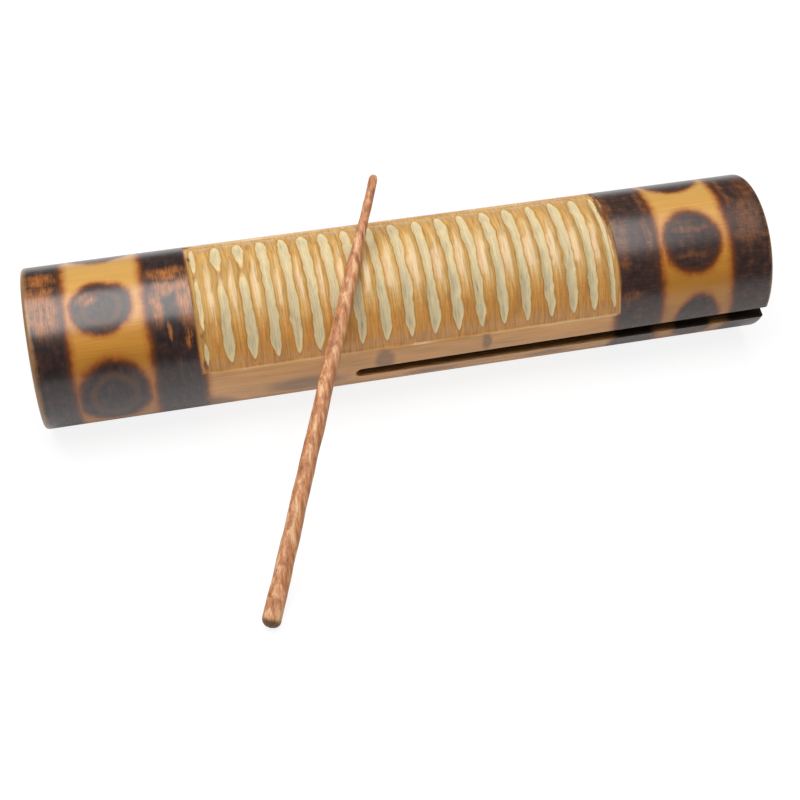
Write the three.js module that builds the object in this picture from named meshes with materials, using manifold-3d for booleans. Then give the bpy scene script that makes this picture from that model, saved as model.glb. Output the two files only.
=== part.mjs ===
import * as THREE from 'three';
import { mergeVertices } from 'three/addons/utils/BufferGeometryUtils.js';
import Module from 'manifold-3d';

// Bamboo guiro: a length of bamboo culm, open at both ends, with a shaved and notched panel
// for scraping, a sound slot sawn in from one end, and a tapered wooden scraper that leans
// on the ridges between the notches. Millimetres, +Z up, the culm along X on the ground.
// Angles round the culm are in degrees, from 0 at the front (-Y) over 90 at the top (+Z).

// Culm
const CULM_LENGTH = 350;
const CULM_DIAMETER = 75.6;
const CULM_WALL = 6.5;
const RIM_ROUNDING = 1.8;
const CULM_SIDES = 72;

// Notches, cut by hand across the culm, so their pitch wanders a little
const NOTCH_COUNT = 19;
const NOTCH_PITCH = 10.73;
const NOTCH_WIDTH = 5.8;
const NOTCH_FLOOR_WIDTH = 1.8;
const NOTCH_DEPTH = 2.3;
const NOTCH_CENTRE_ANGLE = 65.5;
const NOTCH_HALF_ANGLE = 50.5;
const NOTCH_ROW_OFFSET = -1.8;
const RIDGE_ROUNDING = 0.6;
const PITCH_WANDERS = [
  { size: 1.7, turn: 0.409, start: 1.742 },
  { size: 0.65, turn: 0.975, start: -1.785 },
];

// Panel round the notches, where the skin of the bamboo is shaved off
const SHAVE_DEPTH = 0.8;
const PANEL_SIDE_MARGIN = 6;
const PANEL_END_MARGIN = 0.4;

// Sound slot, sawn through the wall from the right end and a little wider at its mouth
const SLOT_LENGTH = 204;
const SLOT_END_WIDTH = 5.8;
const SLOT_MOUTH_WIDTH = 8;
const SLOT_END_ANGLE = -14;
const SLOT_MOUTH_ANGLE = -12;

// Scraper, whittled round and tapered, with rounded ends and its butt on the ground
const SCRAPER_LENGTH = 213.9;
const SCRAPER_BUTT_DIAMETER = 9.1;
const SCRAPER_WAIST_DIAMETER = 7.8;
const SCRAPER_NECK_DIAMETER = 6;
const SCRAPER_TIP_DIAMETER = 4.6;
const SCRAPER_BUTT_ROUNDING = 4;
const SCRAPER_TIP_ROUNDING = 3.6;
const SCRAPER_YAW = 24.9;
const SCRAPER_BUTT_X = -89.6;
const SCRAPER_BUTT_REACH = 150.9;
const SCRAPER_CLEARANCE = 0.3;
const SCRAPER_SIDES = 24;

// Room that a cutting tool needs beyond the surface it cuts
const TOOL_MARGIN = 4;

const culmRadius = CULM_DIAMETER / 2;
const boreRadius = culmRadius - CULM_WALL;
const ridgeRadius = culmRadius - SHAVE_DEPTH;
const sideStep = (2 * Math.PI) / CULM_SIDES;
const culmAxisHeight = culmRadius * Math.cos(sideStep / 2);

const wasm = await Module();
wasm.setup();

// A closed three.js geometry as a solid that can be cut
function toSolid(geometry) {
  const bare = geometry.clone();
  bare.deleteAttribute('normal');
  bare.deleteAttribute('uv');
  const merged = mergeVertices(bare);
  return new wasm.Manifold(new wasm.Mesh({
    numProp: 3,
    vertProperties: merged.attributes.position.array,
    triVerts: Uint32Array.from(merged.index.array),
  }));
}

// A cut solid as a three.js geometry with flat faces
function toGeometry(solid) {
  const mesh = solid.getMesh();
  const shared = new THREE.BufferGeometry();
  shared.setAttribute('position', new THREE.BufferAttribute(mesh.vertProperties, mesh.numProp));
  shared.setIndex(new THREE.BufferAttribute(mesh.triVerts, 1));
  const geometry = shared.toNonIndexed();
  geometry.computeVertexNormals();
  return geometry;
}

// The point of the culm's cross-section at a radius and an angle in radians, as y and z
function sectionPoint(radius, angle) {
  return new THREE.Vector2(-radius * Math.cos(angle), radius * Math.sin(angle));
}

// A quarter round of the rim, from its sawn face to the culm's outside, as radius and height
function rimArc(steps) {
  const arc = [];
  for (let step = 0; step <= steps; step += 1) {
    const turn = (step / steps) * (Math.PI / 2);
    arc.push(new THREE.Vector2(
      culmRadius - RIM_ROUNDING * (1 - Math.sin(turn)),
      CULM_LENGTH / 2 - RIM_ROUNDING * (1 - Math.cos(turn)),
    ));
  }
  return arc;
}

// The plain tube, turned about X, with one of its flat sides underneath
function culmTube() {
  const upper = rimArc(3).reverse();
  const lower = rimArc(3).map((point) => new THREE.Vector2(point.x, -point.y));
  const profile = [
    new THREE.Vector2(boreRadius, -CULM_LENGTH / 2),
    ...lower,
    ...upper,
    new THREE.Vector2(boreRadius, CULM_LENGTH / 2),
    new THREE.Vector2(boreRadius, -CULM_LENGTH / 2),
  ];
  const tube = new THREE.LatheGeometry(profile, CULM_SIDES, sideStep / 2);
  return toSolid(tube.rotateZ(-Math.PI / 2));
}

// Where each notch lies along the culm, with the wander of a hand-held saw
function notchPlaces() {
  const places = [];
  for (let notch = 0; notch < NOTCH_COUNT; notch += 1) {
    let place = NOTCH_ROW_OFFSET + (notch - (NOTCH_COUNT - 1) / 2) * NOTCH_PITCH;
    for (const wander of PITCH_WANDERS) {
      place += wander.size * Math.sin(wander.turn * notch + wander.start);
    }
    places.push(place);
  }
  return places;
}

// The shaved skin, from the panel's floor outwards, over all the notches and their margins
function panelCutter(places) {
  const centre = THREE.MathUtils.degToRad(NOTCH_CENTRE_ANGLE);
  const half = THREE.MathUtils.degToRad(NOTCH_HALF_ANGLE + PANEL_SIDE_MARGIN);
  const steps = Math.round((2 * half) / sideStep);
  const outline = [];
  for (let step = 0; step <= steps; step += 1) {
    outline.push(sectionPoint(ridgeRadius, centre - half + (2 * half * step) / steps));
  }
  for (let step = steps; step >= 0; step -= 1) {
    const angle = centre - half + (2 * half * step) / steps;
    outline.push(sectionPoint(culmRadius + TOOL_MARGIN, angle));
  }
  const reach = NOTCH_WIDTH / 2 + PANEL_END_MARGIN;
  const start = Math.min(...places) - reach;
  const end = Math.max(...places) + reach;
  const cutter = new THREE.ExtrudeGeometry(new THREE.Shape(outline), {
    depth: end - start,
    bevelEnabled: false,
  });
  const acrossToX = new THREE.Matrix4().makeBasis(
    new THREE.Vector3(0, 1, 0),
    new THREE.Vector3(0, 0, 1),
    new THREE.Vector3(1, 0, 0),
  );
  cutter.applyMatrix4(acrossToX).translate(start, 0, 0);
  return toSolid(cutter);
}

// One notch: a ring with the notch's cross-section on its inside, set off the culm's axis so
// that it cuts to full depth in the middle and runs out at both ends of the notch
function notchCutter(place) {
  const floorRadius = ridgeRadius - NOTCH_DEPTH;
  const half = THREE.MathUtils.degToRad(NOTCH_HALF_ANGLE);
  const offset = (ridgeRadius ** 2 - floorRadius ** 2)
    / (2 * (floorRadius - ridgeRadius * Math.cos(half)));
  const ringFloor = floorRadius + offset;
  const ringRidge = ringFloor + NOTCH_DEPTH;
  const floorHalf = NOTCH_FLOOR_WIDTH / 2;
  const topHalf = NOTCH_WIDTH / 2;
  const oneSide = [
    new THREE.Vector2(ringFloor, floorHalf),
    new THREE.Vector2(ringRidge - RIDGE_ROUNDING, topHalf - RIDGE_ROUNDING),
    new THREE.Vector2(ringRidge, topHalf),
    new THREE.Vector2(ringRidge + SHAVE_DEPTH + TOOL_MARGIN, topHalf),
  ];
  const otherSide = oneSide.map((point) => new THREE.Vector2(point.x, -point.y)).reverse();
  const profile = [...otherSide, ...oneSide, otherSide[0]].reverse();
  const ring = new THREE.LatheGeometry(profile, CULM_SIDES);
  const away = sectionPoint(-offset, THREE.MathUtils.degToRad(NOTCH_CENTRE_ANGLE));
  ring.rotateZ(-Math.PI / 2).translate(place, away.x, away.y);
  return toSolid(ring);
}

// The slot's outline along the culm, round at its blind end, cut straight through the wall
function slotCutter() {
  const endAngle = THREE.MathUtils.degToRad(SLOT_END_ANGLE);
  const mouthAngle = THREE.MathUtils.degToRad(SLOT_MOUTH_ANGLE);
  const middle = (endAngle + mouthAngle) / 2;
  const drift = culmRadius * (mouthAngle - endAngle);
  const endX = CULM_LENGTH / 2 - SLOT_LENGTH + SLOT_END_WIDTH / 2;
  const mouthX = CULM_LENGTH / 2 + TOOL_MARGIN;
  const outline = new THREE.Shape();
  outline.moveTo(mouthX, drift / 2 + SLOT_MOUTH_WIDTH / 2);
  outline.lineTo(endX, -drift / 2 + SLOT_END_WIDTH / 2);
  outline.absarc(endX, -drift / 2, SLOT_END_WIDTH / 2, Math.PI / 2, (3 * Math.PI) / 2, false);
  outline.lineTo(mouthX, drift / 2 - SLOT_MOUTH_WIDTH / 2);
  outline.closePath();
  const cutter = new THREE.ExtrudeGeometry(outline, {
    depth: CULM_WALL + 2 * TOOL_MARGIN,
    bevelEnabled: false,
    curveSegments: 10,
  });
  const outward = new THREE.Vector3(0, -Math.cos(middle), Math.sin(middle));
  const upward = new THREE.Vector3(0, Math.sin(middle), Math.cos(middle));
  cutter.applyMatrix4(new THREE.Matrix4().makeBasis(new THREE.Vector3(1, 0, 0), upward, outward));
  cutter.translate(0, ...outward.clone().multiplyScalar(boreRadius - TOOL_MARGIN).toArray().slice(1));
  return toSolid(cutter);
}

// The bamboo body with its panel, notches and slot
function culm() {
  const places = notchPlaces();
  let body = culmTube().subtract(panelCutter(places));
  for (const place of places) {
    body = body.subtract(notchCutter(place));
  }
  body = body.subtract(slotCutter());
  const mesh = new THREE.Mesh(toGeometry(body), new THREE.MeshStandardMaterial({
    color: 0xbf8b4f,
    roughness: 0.5,
    metalness: 0,
  }));
  mesh.name = 'bamboo_culm';
  mesh.position.z = culmAxisHeight;
  return mesh;
}

// A rounded end of the scraper, a quarter of an ellipse from the axis out to its side
function scraperEnd(diameter, rounding, steps) {
  const arc = [new THREE.Vector2(0, 0)];
  for (let step = 1; step < steps; step += 1) {
    const turn = (step / steps) * (Math.PI / 2);
    arc.push(new THREE.Vector2((diameter / 2) * Math.sin(turn), rounding * (1 - Math.cos(turn))));
  }
  return arc;
}

// The scraper's outline from butt to tip, as radius and distance along its axis
function scraperProfile() {
  const stations = [
    [0, SCRAPER_BUTT_DIAMETER],
    [0.22, (SCRAPER_BUTT_DIAMETER + 3 * SCRAPER_WAIST_DIAMETER) / 4],
    [0.45, SCRAPER_WAIST_DIAMETER],
    [0.62, (3 * SCRAPER_WAIST_DIAMETER + SCRAPER_NECK_DIAMETER) / 4],
    [0.83, SCRAPER_NECK_DIAMETER],
    [0.94, SCRAPER_TIP_DIAMETER],
    [1, SCRAPER_TIP_DIAMETER],
  ];
  const sideLength = SCRAPER_LENGTH - SCRAPER_BUTT_ROUNDING - SCRAPER_TIP_ROUNDING;
  const side = new THREE.SplineCurve(stations.map(([share, diameter]) => new THREE.Vector2(
    diameter / 2,
    SCRAPER_BUTT_ROUNDING + share * sideLength,
  )));
  const tip = scraperEnd(SCRAPER_TIP_DIAMETER, SCRAPER_TIP_ROUNDING, 4);
  return [
    ...scraperEnd(SCRAPER_BUTT_DIAMETER, SCRAPER_BUTT_ROUNDING, 5),
    ...side.getPoints(18),
    ...tip.reverse().map((point) => new THREE.Vector2(point.x, SCRAPER_LENGTH - point.y)),
  ];
}

// How high the butt's end point stands when the scraper's lowest point touches the ground
function buttHeight(profile, lean) {
  return Math.max(...profile.map((point) => point.x * Math.cos(lean) - point.y * Math.sin(lean)));
}

// The gap between the scraper's side and the ridges at a lean, less than 0 where they meet
function ridgeGap(profile, lean, yaw) {
  const rise = buttHeight(profile, lean) - culmAxisHeight;
  const distances = profile.map((point) => {
    const y = -SCRAPER_BUTT_REACH + point.y * Math.cos(yaw) * Math.cos(lean);
    const z = rise + point.y * Math.sin(lean);
    return Math.hypot(y, z) - point.x;
  });
  return Math.min(...distances) - ridgeRadius;
}

// The lean at which the scraper's side keeps its clearance above the ridges
function scraperLean(profile, yaw) {
  let low = Math.atan2(culmAxisHeight, SCRAPER_BUTT_REACH);
  let high = Math.PI / 2;
  for (let halving = 0; halving < 40; halving += 1) {
    const lean = (low + high) / 2;
    if (ridgeGap(profile, lean, yaw) < SCRAPER_CLEARANCE) {
      low = lean;
    } else {
      high = lean;
    }
  }
  return high;
}

// The loose scraper, leaning from the ground in front of the culm onto the ridges
function scraper() {
  const profile = scraperProfile();
  const yaw = THREE.MathUtils.degToRad(SCRAPER_YAW);
  const lean = scraperLean(profile, yaw);
  const mesh = new THREE.Mesh(
    new THREE.LatheGeometry(profile, SCRAPER_SIDES),
    new THREE.MeshStandardMaterial({ color: 0xc5906a, roughness: 0.55, metalness: 0 }),
  );
  mesh.name = 'scraper';
  mesh.rotation.set(lean, 0, -yaw, 'ZXY');
  mesh.position.set(SCRAPER_BUTT_X, -SCRAPER_BUTT_REACH, buttHeight(profile, lean));
  return mesh;
}

// Both pieces, moved together so that the origin is under the middle of their box
const guiro = new THREE.Group();
guiro.add(culm(), scraper());
guiro.updateMatrixWorld(true);
const middle = new THREE.Box3().setFromObject(guiro, true).getCenter(new THREE.Vector3());
guiro.position.set(-middle.x, -middle.y, 0);

export default guiro;
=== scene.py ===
import math
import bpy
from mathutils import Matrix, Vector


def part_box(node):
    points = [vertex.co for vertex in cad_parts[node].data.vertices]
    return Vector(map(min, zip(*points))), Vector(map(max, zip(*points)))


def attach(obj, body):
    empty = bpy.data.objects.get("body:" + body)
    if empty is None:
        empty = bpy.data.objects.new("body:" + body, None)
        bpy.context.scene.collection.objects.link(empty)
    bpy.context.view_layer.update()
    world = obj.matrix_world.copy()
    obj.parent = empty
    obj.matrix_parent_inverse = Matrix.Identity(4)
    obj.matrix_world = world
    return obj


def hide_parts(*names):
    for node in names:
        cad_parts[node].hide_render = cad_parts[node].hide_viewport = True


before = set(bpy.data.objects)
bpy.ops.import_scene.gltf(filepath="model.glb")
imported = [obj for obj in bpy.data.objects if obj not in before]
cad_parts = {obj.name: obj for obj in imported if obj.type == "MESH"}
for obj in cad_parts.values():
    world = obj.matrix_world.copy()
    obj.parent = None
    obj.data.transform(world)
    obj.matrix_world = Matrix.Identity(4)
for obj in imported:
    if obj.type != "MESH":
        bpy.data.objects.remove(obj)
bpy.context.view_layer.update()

from types import SimpleNamespace

import bmesh
import bpy
import numpy as np
from bpy.props import FloatProperty, FloatVectorProperty, IntProperty, PointerProperty
from mathutils import Vector

bl_info = {
    "name": "Bamboo Guiro",
    "version": (1, 0, 0),
    "blender": (4, 5, 0),
    "location": "3D View > Sidebar > Guiro",
    "description": "Makes a fire-marked bamboo guiro and its scraper around the packed frame",
    "category": "Add Mesh",
}

CULM_LOW, CULM_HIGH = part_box("bamboo_culm")
AXIS = (CULM_LOW + CULM_HIGH) / 2
CULM_RADIUS = (CULM_HIGH.z - CULM_LOW.z) / 2
CULM_LENGTH = CULM_HIGH.x - CULM_LOW.x
MM = 0.001

# Settings that many sizes, colours and nodes share.
LENGTH = {"unit": "LENGTH", "subtype": "DISTANCE"}
ANGLE = {"unit": "ROTATION", "subtype": "ANGLE"}
COLOUR = {"size": 4, "subtype": "COLOR"}
SMOOTH = {"interpolation_type": "SMOOTHSTEP"}

# The kinds of node that are used most.
MATH = "ShaderNodeMath"
VECTOR_MATH = "ShaderNodeVectorMath"
MAP_RANGE = "ShaderNodeMapRange"
MIX = "ShaderNodeMix"
NOISE = "ShaderNodeTexNoise"
MAPPING = "ShaderNodeMapping"
RAMP = "ShaderNodeValToRGB"
SEPARATE = "ShaderNodeSeparateXYZ"
COMBINE = "ShaderNodeCombineXYZ"
COMPARE = "FunctionNodeCompare"
SET_MATERIAL = "GeometryNodeSetMaterial"

BLACK = (0.0, 0.0, 0.0, 1.0)
WHITE = (1.0, 1.0, 1.0, 1.0)

# Zones of the culm's wall, which are also its material slots.
SKIN, SAWN, BORE = range(3)

# Slow drifts of the hand-spaced notches: size in metres, turn for each notch and start in radians.
PITCH_WANDERS = ((0.0017, 0.409, 1.742), (0.00065, 0.975, -1.785))

# Burnt bands round the culm: where each starts and ends along X, in mm.
BANDS = ((-178.0, -158.3), (-120.4, -100.2), (98.0, 118.6), (155.6, 178.0))

# Burnt spots between the bands, in mm and degrees: X, angle up from the front, length along, length round.
SPOTS = (
    (-141, 68, 25.5, 23), (-140.3, 1, 30, 36), (-139, -62, 28, 32), (-140, 139, 28, 30),
    (-138, 198, 29, 32), (-140, 250, 27, 30),
    (136, 56.7, 25.4, 28.7), (137, 128, 27, 30), (138, -9, 20.5, 30), (136, -68, 28, 31),
    (134, 190, 27, 30), (137, 246, 28, 29),
)

# Smoke smudges on the unshaved skin, in the same terms.
SMUDGES = (
    (-52, -18, 46, 16), (-15.5, -2, 11, 17), (33, 1, 6, 13), (8, -27, 32, 9), (66, -26, 30, 8),
    (-95, -30, 24, 20), (40, 170, 60, 22), (-60, 205, 40, 26),
)

# Places in the burnt marks where a weaker flame only reddened the skin, in the same terms.
WEAK_BURNS = (
    (-167.5, 69, 18, 24), (-167, 86, 15, 6), (-166, 98, 15, 11),
    (-103.5, 68, 8, 27), (-117, 62, 6, 17), (-111, 88, 19, 8), (-112, 76, 12, 9),
    (-104.5, 39, 3, 10), (-112.5, 44, 2, 8), (-147, 75, 9, 7),
    (101.5, 66, 8, 24), (115, 66, 4.5, 16), (101.5, 47, 7, 6), (104, 22, 14, 5),
    (100, 100, 4, 24), (116.5, 98, 4, 24), (136, 66, 22, 3.5), (136, 46, 18, 3),
    (166, 71, 16, 22), (165, 55, 18, 8), (158.5, 96, 3, 30), (171, 100, 5, 20), (170, 97, 12, 16),
    (-166, 190, 16, 40), (-108, 230, 12, 36), (107, 210, 12, 44), (168, 150, 14, 36),
    (-165, 290, 14, 30),
)

# Small scorches on the ends of the shaved panel, in the same terms.
SCORCHES = (
    (-98.3, 103, 2.5, 5), (-98.3, 82, 1.8, 6), (-98.4, 37, 1.8, 5), (-98.2, 14, 2.2, 7),
    (97.4, 97, 1.8, 44),
)

# Where the blade skipped: notch, angle up from the front in degrees, and half length in metres.
NOTCH_SKIPS = ((0, 84.7, 0.0024), (0, 37.3, 0.0028), (1, 80.1, 0.0036), (2, 84.3, 0.0032))

# Width of rubbed rim at the left and the right end, in mm.
RIM_RUB = (2.6, 1.3)

# How far the slot's cutter reaches past the rim and into the bore.
CUTTER_SPARE = 0.004

# An edge that turns by more than this is shaded as an edge.
SHARP = math.radians(38)


def linear(hex_colour):
    """The linear RGBA of an sRGB hex colour."""
    channels = [int(hex_colour[i : i + 2], 16) / 255 for i in (1, 3, 5)]
    return (*(c / 12.92 if c <= 0.04045 else ((c + 0.055) / 1.055) ** 2.4 for c in channels), 1.0)


def shade(colour, strength):
    """A lighter or darker tone of a linear colour."""
    return (*(min(channel * strength, 1.0) for channel in colour[:3]), 1.0)


def socket(sockets, key):
    """The socket at a number, or the one in use with that name."""
    if isinstance(key, int):
        return sockets[key]
    return next(each for each in sockets if each.name == key and each.enabled)


def add(tree, kind, inputs=(), out=0, stops=(), **settings):
    """Adds a node with its settings, links or values, and ramp or curve stops, and gives one output."""
    node = tree.nodes.new(kind)
    for name, value in settings.items():
        setattr(node, name, value)
    for key, value in inputs.items() if isinstance(inputs, dict) else enumerate(inputs):
        if isinstance(value, bpy.types.NodeSocket):
            tree.links.new(value, socket(node.inputs, key))
        else:
            socket(node.inputs, key).default_value = value
    if kind == RAMP:
        for place, colour in stops[1:-1]:
            node.color_ramp.elements.new(place)
        for element, (place, colour) in zip(node.color_ramp.elements, stops):
            element.position, element.color = place, colour
    elif stops:
        points = node.mapping.curves[0].points
        for place, value in stops[1:-1]:
            points.new(place, value)
        points[0].location, points[-1].location = stops[0], stops[-1]
        node.mapping.update()
    return socket(node.outputs, out) if len(node.outputs) else node


def grain(tree, place, size, **look):
    """Noise whose blotches are as large as a size in mm along each axis, on a place in mm."""
    spread = add(tree, MAPPING, {"Vector": place, "Scale": tuple(1 / length for length in size)})
    return add(tree, NOISE, {"Vector": spread, "Scale": 1.0, **look})


def coated(tree, colour, coats):
    """A colour under coats, each given by how far it covers and by its own colour."""
    for cover, coat in coats:
        colour = add(tree, MIX, {"Factor": cover, "A": colour, "B": coat}, "Result", data_type="RGBA")
    return colour


def new_material(name):
    """An empty node material, and its tree."""
    material = bpy.data.materials.new(name)
    material.use_nodes = True
    material.node_tree.nodes.clear()
    return material, material.node_tree


def burnt_marks():
    """A node group that tells how a place in mm lies to the marks that the flame left.

    It gives how far inside a burnt mark the place is, in mm, and how far it is from the middle of the
    nearest spot, smudge, weak burn and scorch, in half widths of each.
    """
    group = bpy.data.node_groups.new("burnt marks", "ShaderNodeTree")
    group.interface.new_socket("Place", in_out="INPUT", socket_type="NodeSocketVector")
    for name in ("Inside", "Spot", "Smudge", "Weak", "Scorch"):
        group.interface.new_socket(name, in_out="OUTPUT", socket_type="NodeSocketFloat")
    place = add(group, "NodeGroupInput")
    # The flame's edge strays slowly, in waves of 11 mm, and trembles in waves of 2 mm.
    slow = add(group, NOISE, {"Vector": place, "Scale": 0.09, "Detail": 1.0}, "Color")
    fine = add(group, NOISE, {"Vector": place, "Scale": 0.55, "Detail": 3.0}, "Color")
    strayed = add(group, VECTOR_MATH, (slow, (3.4,) * 3, (-1.7,) * 3), operation="MULTIPLY_ADD")
    trembled = add(group, VECTOR_MATH, (fine, (1.4,) * 3, (-0.7,) * 3), operation="MULTIPLY_ADD")
    moved = add(group, VECTOR_MATH, (strayed, trembled), operation="ADD")
    spot_place = add(group, VECTOR_MATH, (place, moved), operation="ADD")
    band_move = add(group, VECTOR_MATH, {0: moved, "Scale": 0.6}, operation="SCALE")
    band_place = add(group, VECTOR_MATH, (place, band_move), operation="ADD")
    along = add(group, SEPARATE, (band_place,))

    inside = None
    for start, end in BANDS:
        away = add(group, MATH, (along, (start + end) / 2), operation="SUBTRACT")
        away = add(group, MATH, (away,), operation="ABSOLUTE")
        depth = add(group, MATH, ((end - start) / 2, away), operation="SUBTRACT")
        inside = add(group, MATH, (inside, depth), operation="MAXIMUM") if inside else depth

    nearest = {}
    for name, marks in (("Spot", SPOTS), ("Smudge", SMUDGES), ("Weak", WEAK_BURNS), ("Scorch", SCORCHES)):
        for x, angle, length, width in marks:
            turn = math.radians(angle)
            centre = (x, CULM_RADIUS / MM * math.cos(turn), CULM_RADIUS / MM * math.sin(turn))
            away = add(group, MAPPING, {
                "Vector": spot_place, "Location": centre, "Scale": (length / 2, width / 2, width / 2),
            }, vector_type="TEXTURE")
            away = add(group, VECTOR_MATH, (away,), "Value", operation="LENGTH")
            if name in nearest:
                away = add(group, MATH, (nearest[name], away), operation="MINIMUM")
            nearest[name] = away

    # The depth inside a spot is worked out for its usual radius.
    usual_radius = 14.5
    spot_depth = add(group, MATH, (nearest["Spot"], -usual_radius, usual_radius), operation="MULTIPLY_ADD")
    inside = add(group, MATH, (inside, spot_depth), operation="MAXIMUM")
    add(group, "NodeGroupOutput", {"Inside": inside, **nearest})
    return group


class GuiroCulmSettings(bpy.types.PropertyGroup):
    """Sizes and colours of the bamboo culm."""

    wall: FloatProperty(
        name="Wall", description="Thickness of the bamboo's wall", default=0.0065, **LENGTH)
    rim_rounding: FloatProperty(
        name="Rim rounding", description="Radius of the rounded outer edge at each end",
        default=0.0018, **LENGTH)
    notch_count: IntProperty(name="Notches", description="Number of notches in the row", default=19)
    notch_pitch: FloatProperty(
        name="Notch pitch", description="Mean distance from notch to notch", default=0.01073, **LENGTH)
    row_offset: FloatProperty(
        name="Row offset", description="Place of the middle notch along the culm",
        default=-0.0018, **LENGTH)
    notch_width: FloatProperty(
        name="Notch width", description="Width of a notch at the ridges", default=0.0059, **LENGTH)
    notch_depth: FloatProperty(
        name="Notch depth", description="Depth of a notch below the ridges", default=0.0026, **LENGTH)
    notch_centre: FloatProperty(
        name="Row angle", description="Angle of the notches' middle, up from the front",
        default=math.radians(65.5), **ANGLE)
    notch_half_angle: FloatProperty(
        name="Notch half angle", description="Angle from a notch's middle to its tip",
        default=math.radians(50.5), **ANGLE)
    hollow_depth: FloatProperty(
        name="Hollow depth", description="Depth of the rounded hollow round each notch",
        default=0.0017, **LENGTH)
    shave_depth: FloatProperty(
        name="Shave depth", description="Thickness of skin shaved off under the notches",
        default=0.0008, **LENGTH)
    panel_half_angle: FloatProperty(
        name="Panel half angle", description="Angle from the middle of the shaved panel to its side",
        default=math.radians(56.5), **ANGLE)
    panel_margin: FloatProperty(
        name="Panel end margin", description="Shaved width past the outermost notches",
        default=0.0005, **LENGTH)
    hand_wander: FloatProperty(
        name="Hand wander", description="How far a notch's line strays sideways", default=0.0005, **LENGTH)
    seed: IntProperty(name="Seed", description="Seed of the hand-cut unevenness", default=7)
    slot_length: FloatProperty(
        name="Slot length", description="Length of the sound slot, from its blind end to the right end",
        default=0.204, **LENGTH)
    slot_end_width: FloatProperty(
        name="Slot width, blind end", description="Width of the sound slot at its blind end",
        default=0.0058, **LENGTH)
    slot_mouth_width: FloatProperty(
        name="Slot width, mouth", description="Width of the sound slot at the culm's end",
        default=0.008, **LENGTH)
    slot_end_angle: FloatProperty(
        name="Slot angle, blind end", description="Angle of the slot's blind end, up from the front",
        default=math.radians(-14), **ANGLE)
    slot_mouth_angle: FloatProperty(
        name="Slot angle, mouth", description="Angle of the slot's mouth, up from the front",
        default=math.radians(-12), **ANGLE)
    mouth_corner: FloatProperty(
        name="Mouth corner", description="Size of the worn corner below the slot's mouth",
        default=0.0011, **LENGTH)
    lip_flare: FloatProperty(
        name="Lip flare", description="Width of the eased edge along the slot", default=0.0007, **LENGTH)
    skin_colour: FloatVectorProperty(
        name="Skin colour", description="Colour of the toasted skin between the burnt marks",
        default=linear("#d2943b"), **COLOUR)
    plain_skin_colour: FloatVectorProperty(
        name="Plain skin colour", description="Colour of the skin in the middle of the culm",
        default=linear("#dc9e58"), **COLOUR)
    shaved_colour: FloatVectorProperty(
        name="Shaved colour", description="Colour of the shaved panel and its ridges",
        default=linear("#dcab63"), **COLOUR)
    raw_colour: FloatVectorProperty(
        name="Raw colour", description="Colour of the raw bamboo in the notches",
        default=linear("#d0c19c"), **COLOUR)
    char_colour: FloatVectorProperty(
        name="Char colour", description="Colour of the burnt marks", default=linear("#33211d"), **COLOUR)
    weak_char_colour: FloatVectorProperty(
        name="Weak char colour", description="Colour where the flame only reddened the skin",
        default=linear("#985b28"), **COLOUR)
    ember_colour: FloatVectorProperty(
        name="Ember colour", description="Colour of the singed edge of a burnt mark",
        default=linear("#a6571b"), **COLOUR)


class GuiroScraperSettings(bpy.types.PropertyGroup):
    """Sizes and colours of the scraper."""

    butt_diameter: FloatProperty(
        name="Butt diameter", description="Thickness at the held end", default=0.00908, **LENGTH)
    butt_rounding: FloatProperty(
        name="Butt rounding", description="Length of the rounded held end", default=0.004, **LENGTH)
    tip_rounding: FloatProperty(
        name="Tip rounding", description="Length of the rounded tip", default=0.0036, **LENGTH)
    whittling: FloatProperty(
        name="Whittling", description="Depth of the knife's flats", default=0.0004, **LENGTH)
    seed: IntProperty(name="Seed", description="Seed of the whittled flats", default=3)
    wood_colour: FloatVectorProperty(
        name="Wood colour", description="Colour of the oiled wood", default=linear("#cf8a5d"), **COLOUR)
    sapwood_colour: FloatVectorProperty(
        name="Sapwood colour", description="Colour of the wood's pale streaks",
        default=linear("#e5b687"), **COLOUR)


class GuiroStageSettings(bpy.types.PropertyGroup):
    """Camera and lights."""

    camera_place: FloatVectorProperty(
        name="Camera place", description="Where the camera stands",
        default=(-0.12158, -0.45611, 0.55091), unit="LENGTH", subtype="XYZ_LENGTH")
    camera_turn: FloatVectorProperty(
        name="Camera turn", description="How the camera is turned",
        default=tuple(math.radians(a) for a in (41.920, -0.965, -12.338)),
        unit="ROTATION", subtype="EULER")
    camera_lens: FloatProperty(
        name="Focal length", description="Focal length on a 36 mm sensor", default=68.37, subtype="NONE")
    softbox_place: FloatVectorProperty(
        name="Softbox place", description="Where the softbox hangs, facing down",
        default=(-0.16, 0.052, 1.05), unit="LENGTH", subtype="XYZ_LENGTH")
    softbox_size: FloatVectorProperty(
        name="Softbox size", description="Width and depth of the softbox", size=2,
        default=(1.24, 1.0), unit="LENGTH", subtype="XYZ_LENGTH")
    softbox_radiance: FloatProperty(
        name="Softbox brightness", description="Brightness of the softbox's face, where 1 is white",
        default=3.95)
    room_light: FloatProperty(
        name="Room light", description="Brightness of the room all round, where 1 is white", default=0.05)


def millimetres(tree):
    """Object coordinates in mm from the culm's axis: along, towards the front, and up."""
    place = add(tree, "ShaderNodeTexCoord", out="Object")
    axis = (-AXIS.x / MM, AXIS.y / MM, -AXIS.z / MM)
    return add(tree, MAPPING, {"Vector": place, "Location": axis, "Scale": (1 / MM, -1 / MM, 1 / MM)})


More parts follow.
